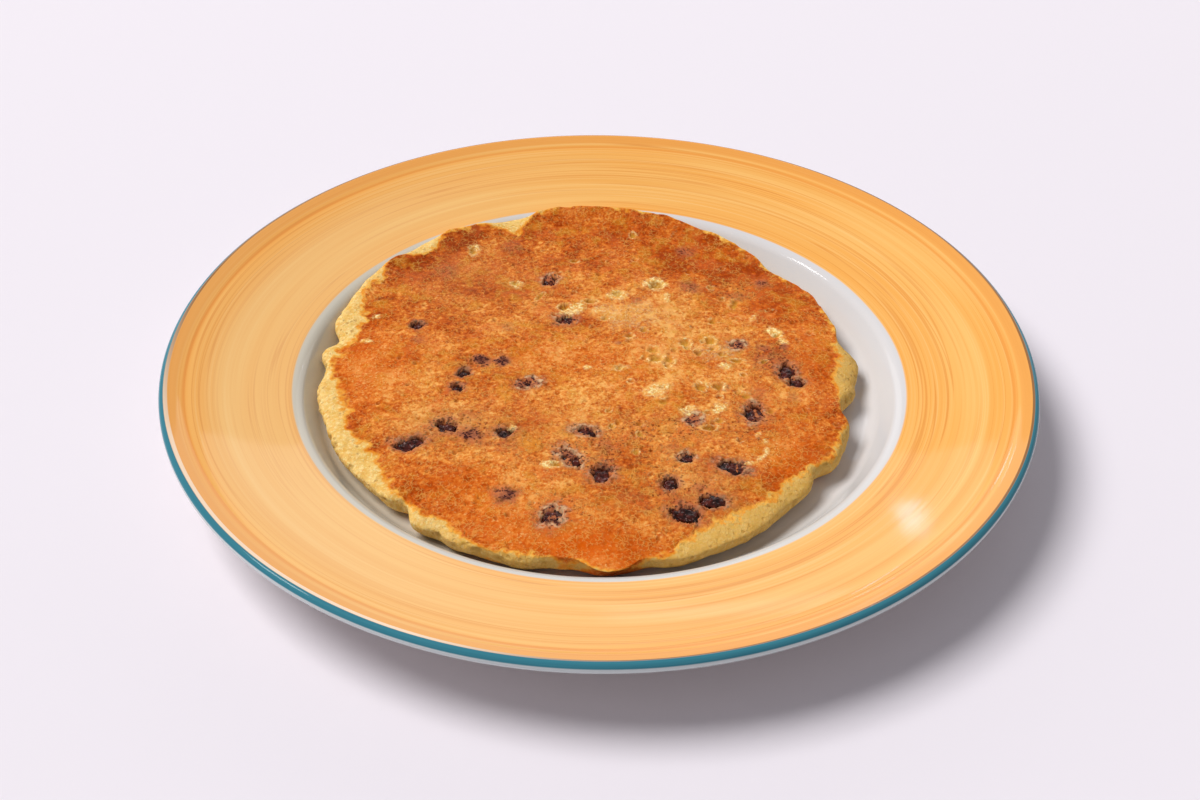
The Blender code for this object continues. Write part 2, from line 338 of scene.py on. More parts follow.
# Where the batter ran out or drew in: heading in degrees from +X, half width, reach
EDGE_LOBES = (
    (30, 12, 1.8), (42, 7, -1.6), (84, 55, 5.6), (108, 9, -1.2), (135, 45, 5.6),
    (163, 8, 1.2), (169, 6, -3.2), (174, 5, 1.0), (181, 6, -1.4), (197, 20, 0.7),
    (231, 5, -3.0), (236, 6, 2.0), (255, 28, 3.2), (272, 80, 1.1), (275, 8, 4.0), (290, 18, 3.6),
    (306, 14, 2.0), (326, 5, -2.4), (332, 7, 0.9), (340, 7, 0.6), (348, 7, -3.6), (4, 8, 1.9),
    (12, 6, -1.4),
)
# Where the brown crust stops short of the side, or hangs past it
CRUST_LOBES = (
    (1, 13, 7.2), (109, 7, 8.6), (118, 8, 2.0), (131, 8, 6.2), (148, 14, 3.2), (163, 14, 8.6),
    (174, 7, 3.8), (192, 18, 6.8), (201, 9, 2.4), (213, 14, 8.8), (224, 6, 3.0), (240, 11, 5.0),
    (274, 10, -4.8), (297, 17, 7.8), (310, 10, 4.4), (319, 8, 4.4), (338, 10, 1.6), (351, 8, 1.8),
)
DROOP = 1.0
DROOP_LOBES = ((275, 80, 1.4), (90, 70, -0.7))
# Chips that show: x, y, length, width, turn of the long side, and how open the crust is there
CHIPS = (
    (-59, 23.5, 3.4, 2.8, 80, 0.9), (-17, 49.5, 5.0, 4.0, 60, 0.4), (-11, 27.5, 5.5, 4.0, 10, 0.6),
    (-42.5, -2, 3.6, 2.6, 50, 0.8), (-44, -9.5, 3.6, 2.8, 0, 0.9), (-22, -6, 6.0, 3.8, 20, 0.1),
    (-46, -28.5, 6.0, 4.4, -40, 1.0), (-56, -36.5, 8.0, 4.0, 20, 0.9),
    (-28.5, -31.5, 5.0, 4.2, 0, 0.9), (-4, -30.5, 7.0, 4.0, -12, 0.3),
    (-8.5, -42.5, 8.0, 4.8, -50, 0.4), (1, -49.5, 6.4, 5.2, 75, 0.8),
    (-13, -69, 7.0, 5.6, 70, 0.3), (59, 1.5, 6.6, 5.0, 85, 0.8), (61.5, -4, 4.4, 3.4, 0, 0.8),
    (47.5, -20, 8.0, 5.0, 80, 0.7), (28.5, -24, 5.0, 3.8, 60, 0.2), (26, -42, 4.0, 3.6, 0, 0.3),
    (39, -46, 8.0, 4.8, -15, 0.8), (21, -53.5, 4.6, 3.6, 80, 0.9),
    (33.5, -60.5, 6.4, 3.8, -5, 0.8), (25, -65.5, 7.4, 4.6, -20, 1.0), (44, 15, 4.4, 3.6, 30, 0.1),
)
# Chips under the skin, which only stain it: x, y, width, strength
STAINS = (
    (-37.5, 4, 7, 1.3), (-30.5, 4.5, 6.5, 1.3), (-38, -33, 9, 1.1), (-27, -60, 9, 1.0),
    (54, 50, 6, 0.8), (29, 68, 7, 0.7), (30, 47, 8, 0.7), (6, 14.5, 3, 0.9), (52, 13, 5, 0.7),
    (59, 14, 4, 0.8), (-62, -35, 4, 0.8), (-58, 15, 5, 0.5), (-30, 70, 9, 0.35), (39, -8, 4, 0.6),
    (-52, 55, 10, 0.35), (-14, 25, 4, 0.7), (-30, 22, 6, 0.4), (12, 38, 4, 0.5), (45, 42, 7, 0.4),
    (30, -56, 6, 0.5), (60, -12, 5, 0.4), (-40, -24, 8, 0.3), (-50, -30, 9, 0.3), (2, -40, 6, 0.3),
    (54, 7, 14, 0.4), (49, -11, 8, 0.35), (3, -36, 9, 0.35), (22, -40, 8, 0.3), (-28, -36, 10, 0.25),
)
# Pale skin that was left by a bubble or pulled thin: x, y, length, width, turn, strength
PALE_PATCHES = (
    (18.5, 48, 8, 7, 70, 0.9), (-8.5, 33, 9, 5, 20, 0.8), (6, 41, 7, 6, 0, 0.55),
    (-28, 47, 5, 4, 0, 0.5), (56.5, 22, 8, 4.5, -40, 1.0), (59, 17, 4, 2.5, -50, 0.7),
    (18, -10, 9, 6, 30, 0.6), (37, -18, 7, 4, 60, 0.6), (39, 3, 5, 4, 0, 0.8),
    (-14, -46.5, 5, 3, 10, 0.8), (7, 1, 6, 2.5, 10, 0.55), (-43, 67, 4, 6, 0, 0.5),
    (-26.5, -29.5, 3, 2, 20, 0.7), (0, 33, 5, 4, 0, 0.4), (27, -20, 6, 4, 40, 0.6),
    (48, -31, 3, 1.4, 70, 0.5), (50, -34, 2.4, 1.2, 100, 0.7), (50, -38, 3.4, 1.3, 80, 0.5),
    (48, -41.5, 3, 1.5, 50, 0.6), (45, -44, 4, 1.2, 15, 0.6), (50, 30, 5, 2, 60, 0.4),
    (22, 40, 2, 6, 0, 0.5), (-4, 1.5, 2.5, 2, 0, 0.7), (-73, 28, 3, 3, 0, 0.7),
    (-75, 15, 4, 2.5, 0, 0.8), (36, 10, 14, 9, 0, 0.25), (10, 30, 22, 16, 0, 0.22),
)
# Open bubbles: x, y, length, width, turn, depth
BUBBLES = (
    (18.8, 47.2, 5.0, 4.6, 70, 1.8), (33.5, -28, 5.2, 2.8, 10, 1.2), (-12.4, -46.4, 3.2, 2.2, 0, 0.8),
    (-11.8, 34.4, 4.2, 3.2, 40, 1.3), (-44, 67, 2.6, 4.6, 10, 1.0), (43.5, 6.5, 5.0, 2.2, 0, 0.9),
    (-28.4, 47.6, 3.6, 2.6, 0, 0.7), (5.8, 41.6, 4.0, 3.2, 0, 0.7), (-20, 40, 4.6, 1.6, 60, 0.8),
    (-3.6, 37.6, 4.6, 2.4, 0, 0.8), (36, 12.5, 2.0, 2.0, 0, 0.9), (28, 12.5, 2.2, 2.0, 0, 0.9),
    (14, 21.5, 2.6, 2.6, 0, 0.9), (1.6, 28, 2.2, 2.6, 0, 0.8), (57, 20, 2.6, 2.0, 0, 0.7),
    (11, 77, 2.4, 3.0, 0, 0.8), (-9, 61, 3.0, 2.0, 0, 0.6), (3, -20, 2.0, 2.0, 0, 0.7),
    (4, -28, 2.2, 1.8, 60, 0.7), (12.4, -31.5, 3.0, 1.8, -50, 0.8), (11, -40, 2.4, 1.6, 0, 0.7),
    (36.5, -24.5, 2.6, 2.2, 0, 0.8), (45, -1, 2.0, 2.0, 0, 0.6), (52, 6, 2.4, 1.6, 30, 0.6),
)
# Where the crust is open and finely holed, like a honeycomb: x, y, width, depth
HOLED = (
    (-42, -29, 34, 22), (25, -58, 34, 24), (-2, -40, 50, 26), (55, 8, 20, 30), (-40, 2, 26, 12),
    (48, -26, 22, 24), (-12, -66, 26, 16), (20, -28, 34, 14), (44, 46, 26, 16),
)
# Broad changes of browning: x, y, width, height, darker, redder
BROWNING = (
    (-48, 52, 56, 46, 0.55, -0.5), (36, 66, 46, 34, 0.85, 0.3), (55, 40, 34, 30, 0.55, 0.4),
    (-74, 2, 30, 46, -0.15, 0.9), (-2, 78, 70, 40, 0.55, 0.2), (0, -82, 44, 22, 0.1, 1.2),
    (58, -44, 26, 42, 0.25, 1.0), (-38, -56, 44, 26, 0.05, 0.6), (18, 26, 56, 36, -0.4, -0.2),
    (-10, 8, 60, 18, 0.1, 0.6), (28, -2, 44, 26, -0.3, 0.1), (-66, 62, 20, 20, 0.5, 0.4),
    (-5, -22, 60, 24, -0.35, -0.1), (-70, 40, 24, 40, 0.2, 0.1), (68, 8, 18, 40, 0.2, 0.6),
    (30, -56, 30, 22, 0.05, -0.5), (-44, -30, 36, 18, -0.05, -0.6), (-22, -72, 40, 18, -0.1, 0.7),
)


def swell(heading, lobes):
    """The sum of the lobes at headings in degrees."""
    total = np.zeros_like(heading)
    for middle, half_width, reach in lobes:
        off = np.abs((heading - middle + 180) % 360 - 180) / half_width
        total += np.where(off < 1, reach * (0.5 + 0.5 * np.cos(np.pi * np.minimum(off, 1))), 0)
    return total


def rumple(u, v, size, seed):
    """Smooth random hills from -1 to 1, about a size apart."""
    knots = np.random.default_rng(seed).uniform(-1, 1, (256, 256))
    u, v = u / size, v / size
    left, low = np.floor(u).astype(int), np.floor(v).astype(int)
    s, t = u - left, v - low
    s, t = s * s * (3 - 2 * s), t * t * (3 - 2 * t)
    near = knots[left % 256, low % 256] * (1 - s) + knots[(left + 1) % 256, low % 256] * s
    far = knots[left % 256, (low + 1) % 256] * (1 - s) + knots[(left + 1) % 256, (low + 1) % 256] * s
    return near * (1 - t) + far * t


def ease(value, low, high):
    """0 below low, 1 above high, and smooth between them."""
    share = np.clip((value - low) / (high - low), 0, 1)
    return share * share * (3 - 2 * share)


def heap(x, y, spots):
    """Soft round hills of height 1 added up, each from x, y, width and depth."""
    total = np.zeros_like(x)
    for x_spot, y_spot, wide, deep in spots:
        total += np.exp(-(((x - x_spot) / (0.5 * wide)) ** 2) - ((y - y_spot) / (0.5 * deep)) ** 2)
    return total


def oval(x, y, spot):
    """Distance from the middle of an oval, 1 at its rim."""
    middle_x, middle_y, length, width, degrees = spot
    turn = math.radians(degrees)
    along = (x - middle_x) * math.cos(turn) + (y - middle_y) * math.sin(turn)
    aside = (y - middle_y) * math.cos(turn) - (x - middle_x) * math.sin(turn)
    return np.hypot(along / (length / 2), aside / (width / 2))


def pancake_rings():
    """Heading and ring of every point. A top ring has six points more than the one inside it."""
    headings, rings, faces = [0.0], [0], []
    starts = [0]
    for ring in range(1, TOP_RINGS + 1):
        starts.append(len(rings))
        count = 6 * ring
        headings += list(np.arange(count) * 360.0 / count)
        rings += [ring] * count
        inner, outer, fewer = starts[ring - 1], starts[ring], max(1, count - 6)
        for side in range(6):
            for step in range(ring):
                a = outer + side * ring + step
                b = outer + (side * ring + step + 1) % count
                c = inner + (side * (ring - 1) + step) % fewer
                faces.append((a, b, c))
                if step < ring - 1:
                    d = inner + (side * (ring - 1) + step + 1) % fewer
                    faces.append((c, b, d))
    count = 6 * TOP_RINGS
    for ring in range(TOP_RINGS + 1, TOP_RINGS + SHOULDER_RINGS + UNDER_RINGS + BASE_RINGS):
        inner, outer = starts[-1], len(rings)
        starts.append(outer)
        headings += list(np.arange(count) * 360.0 / count)
        rings += [ring] * count
        for step in range(count):
            following = (step + 1) % count
            faces.append((outer + step, outer + following, inner + following, inner + step))
    middle = len(rings)
    headings.append(0.0)
    rings.append(TOP_RINGS + SHOULDER_RINGS + UNDER_RINGS + BASE_RINGS)
    faces += [(middle, starts[-1] + (step + 1) % count, starts[-1] + step) for step in range(count)]
    return np.array(headings), np.array(rings), faces


def rest_height(x, y):
    """How high the pancake's base lies, bending up at the plate's wall and at the back."""
    out = np.hypot(x, y)
    past_floor = np.maximum(0, out - 0.97 * FLOOR_RADIUS) / 12
    back = np.clip((y - 55) / 35, 0, 1)
    return FLOOR_HEIGHT + REST_GAP + 1.9 * past_floor**2 + 2.2 * back**2


def slow_wave(x, y):
    """The unevenness of the top that a hand would feel."""
    return 0.9 * np.array([noise.noise(Vector((a, b, 0)) / 34) for a, b in zip(x, y)])


def form_pancake():
    """Every point of the pancake in millimetres, and what its material reads at each."""
    heading, ring, faces = pancake_rings()
    edge = PANCAKE_RADIUS + swell(heading, EDGE_LOBES)
    crust = edge - CRUST_INSET - swell(heading, CRUST_LOBES)
    droop = DROOP + swell(heading, DROOP_LOBES)
    turn = np.radians(heading)
    round_x, round_y = PANCAKE_RADIUS * np.cos(turn), PANCAKE_RADIUS * np.sin(turn)
    # small lumps of the sponge, which move the side in and out
    lumps = 0.7 * rumple(round_x, round_y, 9, 3) + 0.35 * rumple(round_x, round_y, 3.6, 4)
    edge = edge + 0.8 * lumps
    crust = crust + 0.5 * rumple(round_x, round_y, 6, 5) + 0.45 * rumple(round_x, round_y, 2.7, 6)
    top = PANCAKE_THICKNESS - droop

    on_top = ring <= TOP_RINGS
    share = np.clip(ring / TOP_RINGS, 0, 1)
    shoulder = np.radians(90 * np.clip((ring - TOP_RINGS) / SHOULDER_RINGS, 0, 1))
    tuck_ring = ring - TOP_RINGS - SHOULDER_RINGS
    tuck = np.radians(90 * np.clip(tuck_ring / UNDER_RINGS, 0, 1))
    inward = np.clip((tuck_ring - UNDER_RINGS) / BASE_RINGS, 0, 1)
    out = np.where(on_top, crust * share, crust + (edge - crust) * np.sin(shoulder))
    out = np.where(tuck_ring > 0, edge - UNDERCUT * (1 - np.cos(tuck)), out)
    out = np.where(inward > 0, (edge - UNDERCUT) * (1 - inward), out)
    up = np.where(on_top, PANCAKE_THICKNESS - droop * share**7, 0)
    up = np.where(on_top, up, BULGE_HEIGHT + (top - BULGE_HEIGHT) * np.cos(shoulder))
    up = np.where(tuck_ring > 0, BULGE_HEIGHT * (1 - np.sin(tuck)), up)
    up = np.where(inward > 0, 0, up)
    topness = np.where(on_top, 1.0, np.cos(shoulder)) * (tuck_ring <= 0)

    x = PANCAKE_MIDDLE[0] + out * np.cos(turn)
    y = PANCAKE_MIDDLE[1] + out * np.sin(turn)
    depth_in = crust - out
    side = (1 - topness) * (inward <= 0)

    # the crust: hollows and open bubbles, their pale walls, and the chips' stains round them
    sunk, pale, stain, wall = (np.zeros_like(x) for _ in range(4))
    ragged = rumple(x, y, 1.7, 11)
    for spot in CHIPS:
        off = oval(x, y, (spot[0], spot[1], spot[2] + 0.8, spot[3] + 0.8, spot[4]))
        off = off + 0.3 * rumple(x, y, 1.9, 12) + 0.22 * rumple(x, y, 1.1, 13)
        bridged = ease(ragged + 1.7 * spot[5] - 0.75, -0.3, 0.15)
        hole = (1 - ease(off, 0.8, 1.1)) * bridged
        sunk = np.maximum(sunk, HOLLOW_DEPTH * hole)
        wall = np.maximum(wall, np.exp(-(((off - 1.15) / 0.25) ** 2)) * (1.15 - spot[5]))
        stain = np.maximum(stain, np.exp(-((np.maximum(0, off - 0.8) / 0.75) ** 2)))
    for x_spot, y_spot, width, strength in STAINS:
        off = oval(x, y, (x_spot, y_spot, width, width, 0)) + 0.3 * rumple(x, y, 2.2, 14)
        stain = np.maximum(stain, strength * (1 - ease(off, 0.3, 1.35)))
    for *spot, strength in PALE_PATCHES:
        off = oval(x, y, spot) + 0.35 * rumple(x, y, 2.0, 15) + 0.2 * rumple(x, y, 0.9, 16)
        pale = np.maximum(pale, 1.2 * strength * (1 - ease(off, 0.6, 1.25)))
    bubble = np.zeros_like(x)
    for *spot, depth in BUBBLES:
        off = oval(x, y, spot) + 0.15 * rumple(x, y, 1.2, 17)
        sunk = np.maximum(sunk, depth * (1 - ease(off, 0.35, 1.05)))
        bubble = np.maximum(bubble, 1 - ease(off, 0.55, 1.0))
        pale = np.maximum(pale, 0.6 * np.exp(-(((off - 1.1) / 0.2) ** 2)))

    # pits of small bubbles, more and larger in the lighter part of the crust
    draw = np.random.default_rng(7)
    pit = np.zeros_like(x)
    pitted = np.zeros_like(x)
    flat = np.where(on_top)[0]
    for _ in range(PIT_TRIES):
        spot = draw.uniform(-PANCAKE_RADIUS, PANCAKE_RADIUS, 2)
        middle = math.exp(-(((spot[0] - 26) / 34) ** 2) - ((spot[1] - 10) / 36) ** 2)
        front = math.exp(-(((spot[0] - 8) / 50) ** 2) - ((spot[1] + 48) / 24) ** 2)
        left = math.exp(-(((spot[0] + 46) / 18) ** 2) - ((spot[1] + 30) / 14) ** 2)
        keen = draw.random()
        if keen > 0.18 + 0.36 * middle + 0.75 * front + 0.7 * left:
            continue
        radius = 0.38 + 1.3 * draw.random() ** 3 * (0.3 + middle)
        near = flat[np.hypot(x[flat] - spot[0], y[flat] - spot[1]) < 2 * radius + 0.6]
        off = np.hypot(x[near] - spot[0], y[near] - spot[1]) / radius
        off = off + 0.3 * rumple(x[near], y[near], 0.8, 18)
        pit[near] = np.maximum(pit[near], (0.5 + 0.3 * radius) * (1 - ease(off, 0.3, 1.25)))
        pitted[near] = np.maximum(pitted[near], (1 - ease(off, 0.5, 1.2)) * ease(radius, 1.1, 0.7))
        bubble[near] = np.maximum(bubble[near], (1 - ease(off, 0.6, 1.05)) * ease(radius, 0.85, 1.2))
        lip = (0.25 + 0.55 * middle) * np.exp(-(((off - 1.3) / 0.28) ** 2)) * ease(ragged[near], -0.5, 0.3)
        pale[near] = np.maximum(pale[near], lip * ease(radius, 0.45, 0.8))
    relief = 0.13 * rumple(x, y, 5.5, 21) + 0.1 * rumple(x, y, 2.4, 22) + 0.06 * rumple(x, y, 1.1, 23)
    relief += 0.16 * pale - 0.1 * stain * rumple(x, y, 1.3, 24)

    up = up + rest_height(x, y) + topness * (slow_wave(x, y) + relief - sunk - pit)
    floor = height_on_plate(np.hypot(x, y)) + REST_GAP
    up = np.maximum(up, floor)

    # the side: a soft skin with small open pores
    swing = np.cos(turn), np.sin(turn)
    pores = np.zeros_like(x)
    beside = np.where(side > 0.25)[0]
    for _ in range(SIDE_PORES):
        around, level = draw.uniform(0, 360), draw.uniform(8, 16)
        centre_out = PANCAKE_RADIUS + swell(np.array([around]), EDGE_LOBES)[0]
        cx = PANCAKE_MIDDLE[0] + centre_out * math.cos(math.radians(around))
        cy = PANCAKE_MIDDLE[1] + centre_out * math.sin(math.radians(around))
        radius = 0.45 + 0.7 * draw.random() ** 2
        gap = np.sqrt((x[beside] - cx) ** 2 + (y[beside] - cy) ** 2 + (up[beside] - level) ** 2)
        pores[beside] = np.maximum(pores[beside], radius / 1.15 * (1 - ease(gap / radius, 0.5, 1.4)))
    spread = 0.3 * rumple(round_x, up * 1.6, 3.2, 31) + 0.22 * rumple(round_y, up * 1.6, 2.1, 32)
    push = side * (spread - 0.6 * pores)
    x = x + push * swing[0]
    y = y + push * swing[1]

    fringe = 1.2 * rumple(x, y, 5.0, 40) + 1.3 * rumple(x, y, 2.6, 41) + 1.1 * rumple(x, y, 1.1, 42)
    brown = ease(depth_in + fringe - 2.2 * side, -3.2, 2.2)
    darker, redder = np.zeros_like(x), np.zeros_like(x)
    for x_spot, y_spot, wide, high, dark, red in BROWNING:
        lobe = np.exp(-(((x - x_spot) / (0.5 * wide)) ** 2) - ((y - y_spot) / (0.5 * high)) ** 2)
        darker += dark * lobe
        redder += red * lobe
    rim_heat = np.exp(-((np.maximum(0, depth_in - 2) / 6) ** 2)) * on_top
    holed = np.clip(heap(x, y, HOLED), 0, 1) * on_top
    # painted shade: the side is a darker gold at the front right, which faces away from the light
    toasted = ease(np.cos(turn - math.radians(315)), 0, 0.7)
    stored = {
        "brown": brown, "pale": pale, "stain": stain, "wall": wall, "bubble": bubble,
        "pitted": pitted, "holed": holed, "darker": darker, "redder": redder, "rim_heat": rim_heat,
        "sunk": np.clip(sunk / HOLLOW_DEPTH, 0, 1), "pores": np.clip(pores * 1.4, 0, 1),
        "toasted": toasted,
    }
    return np.stack([x, y, up], axis=1), faces, stored


def fried_batter():
    """Browned crust over pale sponge, mixed by what the mesh stores at each point."""
    made, shader, flow = finish_of("fried_batter")
    place = flow.node("ShaderNodeTexCoord", {}, {}, output=3)
    keys = ("brown", "pale", "stain", "wall", "bubble", "pitted", "holed", "darker", "redder",
            "rim_heat", "sunk", "pores", "toasted")
    at = {key: flow.stored(key) for key in keys}
    coarse = flow.grain(place, 62.0, 3.0, 0.55)
    medium = flow.grain(place, 300.0, 3.0, 0.6)
    mild = flow.grain(place, 560.0, 2.0, 0.6)
    fine = flow.grain(place, 1000.0, 2.0, 0.6)
    warp = flow.node(
        "ShaderNodeVectorMath", {"operation": "MULTIPLY_ADD"},
        {0: flow.grain(place, 700.0, 2.0, 0.5, output=1), 1: (0.0016, 0.0016, 0.0016), 2: place},
    )

    def cells(scale, feature="F1"):
        """Distance from the middles of a crowd of small cells, or from the walls between them."""
        sockets = {"Vector": warp, "Scale": scale, "Randomness": 1.0}
        return flow.node("ShaderNodeTexVoronoi", {"feature": feature}, sockets)

    small, large = cells(900.0), cells(430.0)
    gold = flow.grain(place, 150.0, 3.0, 0.6)
    rosy = flow.grain(place, 110.0, 3.0, 0.6)
    # tone of the crust: 0 golden, 1 well browned
    tone = 0.48 + at["darker"] * 0.42 + (coarse - 0.5) * 1.7 + (medium - 0.5) * 1.1 + at["rim_heat"] * 0.14
    tone = (tone + (mild - 0.5) * 1.4 + (fine - 0.5) * 0.9).clamped()
    stops = [
        (0.0, hue(247, 181, 98)), (0.28, hue(230, 141, 58)), (0.52, hue(206, 105, 32)),
        (0.76, hue(182, 76, 10)), (1.0, hue(146, 50, 0)),
    ]
    crust = flow.node("ShaderNodeValToRGB", {"stops": stops}, {0: tone})
    crust = flow.blend(gold.between(0.5, 0.68) * 0.5, crust, hue(222, 148, 42))
    crust = flow.blend((1 - rosy.between(0.34, 0.5)) * 0.35, crust, hue(218, 108, 52))
    crust = flow.blend((at["redder"] * 0.6).clamped(), crust, hue(216, 92, 0))
    crust = flow.blend((at["redder"] * -0.6).clamped(), crust, hue(184, 106, 60))
    crust = flow.blend(at["holed"] * medium.between(0.35, 0.65) * 0.5, crust, hue(208, 130, 62))
    # thin golden walls between the finest bubbles, painted highlights on the tops of the grain, and pin
    # holes painted dark as shade
    walls = (1 - cells(640.0, "DISTANCE_TO_EDGE").between(0.02, 0.14)) * medium.between(0.42, 0.6)
    crust = flow.blend(walls * 0.35, crust, hue(248, 188, 98))
    # painted highlight: the tops of the fine grain are painted pale gold where the crust is light
    lit_grain_tops = (1 - small.between(0.2, 0.5)) * mild.between(0.46, 0.62) * (1 - tone)
    crust = flow.blend(lit_grain_tops * 0.9, crust, hue(255, 204, 124))
    # painted shade: the pin holes in the holed zones are painted dark brown
    dots = (1 - large.between(0.1, 0.26)) * (at["holed"] * medium).between(0.24, 0.42)
    pins = (1 - small.between(0.16, 0.36)) * (at["holed"] * mild).between(0.24, 0.44)
    dots = flow.sum("MAXIMUM", dots, pins * 0.8)
    crust = flow.blend(dots * 0.8, crust, hue(130, 44, 0))
    # sponge: golden just below the crust, then pale, with olive shade in the pores
    bare = flow.blend(medium.between(0.3, 0.7), hue(230, 180, 90), hue(246, 208, 132))
    bare = flow.blend(mild.between(0.5, 0.66) * 0.45, bare, hue(218, 158, 66))
    bare = flow.blend((1 - fine.between(0.34, 0.5)) * 0.5, bare, hue(255, 232, 168))
    # painted shade on the side away from the light
    bare = flow.blend(at["toasted"] * 0.65, bare, hue(212, 164, 78))
    tiny = (1 - large.between(0.14, 0.32)) * (1 - at["brown"])
    bare = flow.blend(tiny * medium.between(0.4, 0.6) * 0.6, bare, hue(178, 120, 44))
    golden = flow.blend(medium.between(0.35, 0.65), hue(228, 138, 36), hue(248, 184, 82))
    fried = at["brown"] + (mild - 0.5) * 1.2 * (1 - at["brown"]) * (at["brown"] * 4).clamped()
    skin = flow.blend(fried.between(0.1, 0.42), bare, golden)
    skin = flow.blend(fried.between(0.4, 0.8), skin, crust)
    # round the chips the skin is greyed and stippled, and it is pale where it was thin
    stipple = (1 - small.between(0.2, 0.5)) * 0.45 + medium * 0.65
    dark = (stipple + at["stain"] * 0.14).between(0.4, 0.65)
    shadow = flow.blend(dark, hue(178, 106, 74), hue(72, 34, 32))
    skin = flow.blend((at["stain"] * stipple.between(0.0, 0.4)).clamped(), skin, shadow)
    thin = flow.blend(fine.between(0.35, 0.65), hue(236, 176, 84), hue(255, 230, 164))
    lace = 1 - flow.sum("ABSOLUTE", flow.grain(place, 620.0, 1.0) - 0.5).between(0.02, 0.11)
    skin = flow.blend((at["pale"] * (0.3 + fine * 0.6 + lace * 0.9)).clamped(), skin, thin)
    skin = flow.blend((at["wall"] * mild.between(0.42, 0.6)).clamped(), skin, hue(226, 184, 140))
    # painted shade: the open bubbles are painted olive, darker than the sponge, in their hollows
    olive = flow.blend(medium.between(0.35, 0.65), hue(172, 116, 28), hue(206, 156, 60))
    skin = flow.blend(at["bubble"] * 0.7, skin, olive)
    # painted shade: the small pits are painted darker brown
    skin = flow.blend(at["pitted"] * 0.6, skin, hue(156, 78, 20))
    # painted shade in the side's open pores
    skin = flow.blend(at["pores"] * 0.4, skin, hue(172, 124, 42))
    # painted shade: the hollows round the chips are painted deep brown
    skin = flow.blend(at["sunk"].between(0.35, 0.9) * (1 - at["bubble"]) * 0.9, skin, hue(70, 30, 16))
    flow.tree.links.new(skin.socket, shader.inputs["Base Color"])
    dull = 0.62 - at["brown"] * 0.12 + (medium - 0.5) * 0.3
    flow.tree.links.new(dull.socket, shader.inputs["Roughness"])
    shader.inputs["Specular IOR Level"].default_value = 0.06
    shader.inputs["Subsurface Weight"].default_value = 0.12
    shader.inputs["Subsurface Radius"].default_value = (0.003, 0.0014, 0.0006)
    shader.inputs["Subsurface Scale"].default_value = 0.6
    height = fine * 0.3 + mild * 0.6 + medium * 0.9 + walls * 0.3 + lit_grain_tops * 0.2 - dots * 0.6 - tiny * 0.5
    bump = flow.node("ShaderNodeBump", {}, {"Strength": 0.6, "Distance": 0.0006, "Height": height})
    flow.tree.links.new(bump.socket, shader.inputs["Normal"])
    return made


points, faces, stored = form_pancake()
pancake = shell("pancake_round", points, faces, fried_batter())
for key, values in stored.items():
    store(pancake, key, values)
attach(pancake, "root")
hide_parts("pancake")


# Chocolate chips: drops of dark chocolate, stirred into the batter. The pan melted their tops,
# so each is a wrinkled, shiny lump that lies in its hollow a little below the crust.
CHIP_HEIGHT = 3.0
CHIP_SINK = 0.55


def crust_height(x, y):
    """Height of the crust over a place away from the edge, without its pits."""
    spot_x, spot_y = np.array([float(x)]), np.array([float(y)])
    return (rest_height(spot_x, spot_y) + PANCAKE_THICKNESS + slow_wave(spot_x, spot_y))[0]


def form_chips():
    """All of the chips as one mesh of wrinkled lumps."""
    ball = bpy.data.meshes.new("ball")
    work = bmesh.new()
    bmesh.ops.create_icosphere(work, subdivisions=4, radius=1)
    work.to_mesh(ball)
    work.free()
    unit = np.array([v.co for v in ball.vertices])
    triangles = np.array([p.vertices for p in ball.polygons])
    bpy.data.meshes.remove(ball)
    points, faces = [], []
    for index, (x, y, length, width, turn, opened) in enumerate(CHIPS):
        lump = unit * np.array([length / 2 + 0.5, width / 2 + 0.5, CHIP_HEIGHT / 2])
        wrinkle = np.array([
            noise.noise(Vector(p) * 0.75 + Vector((9.0 * index, 0, 0))) * 0.7
            + noise.noise(Vector(p) * 1.9 + Vector((0, 7.0 * index, 0))) * 0.4
            for p in lump
        ])
        lump = lump + unit * wrinkle[:, None]
        spin = math.radians(turn)
        across = lump[:, 0] * math.cos(spin) - lump[:, 1] * math.sin(spin)
        along = lump[:, 0] * math.sin(spin) + lump[:, 1] * math.cos(spin)
        level = crust_height(x, y) - CHIP_SINK - CHIP_HEIGHT / 2 - 0.25 * opened
        faces.append(triangles + index * len(unit))
        points.append(np.stack([across + x, along + y, lump[:, 2] + level], axis=1))
    return np.concatenate(points), [tuple(face) for face in np.concatenate(faces).tolist()]


def melted_chocolate():
    """Dark chocolate with a greyish bloom on its wrinkles, made strong enough to be painted glints, and a
    melted shine.
    """
    made, shader, flow = finish_of("melted_chocolate")
    place = flow.node("ShaderNodeTexCoord", {}, {}, output=3)
    mottle = flow.grain(place, 420.0, 3.0, 0.6)
    bloom_and_glint = flow.grain(place, 1100.0, 2.0, 0.6)
    colour = flow.blend(mottle.between(0.35, 0.7), hue(24, 5, 4), hue(92, 30, 18))
    # painted highlight: pale flecks of bloom that stand in for glints
    colour = flow.blend(bloom_and_glint.between(0.58, 0.7) * 0.5, colour, hue(182, 146, 140))
    flow.tree.links.new(colour.socket, shader.inputs["Base Color"])
    sheen = mottle * 0.3 + 0.1
    flow.tree.links.new(sheen.socket, shader.inputs["Roughness"])
    shader.inputs["Specular IOR Level"].default_value = 0.45
    height = mottle + bloom_and_glint * 0.4
    bump = flow.node("ShaderNodeBump", {}, {"Strength": 0.8, "Distance": 0.0003, "Height": height})
    flow.tree.links.new(bump.socket, shader.inputs["Normal"])
    return made


chip_points, chip_faces = form_chips()
chips = shell("chocolate_chips", chip_points, chip_faces, melted_chocolate())
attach(chips, "root")
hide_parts("pancake")


# Table: a plain pale floor that the plate stands on, and round it a pale, soft room.
FLOOR_SIZE = 4.0


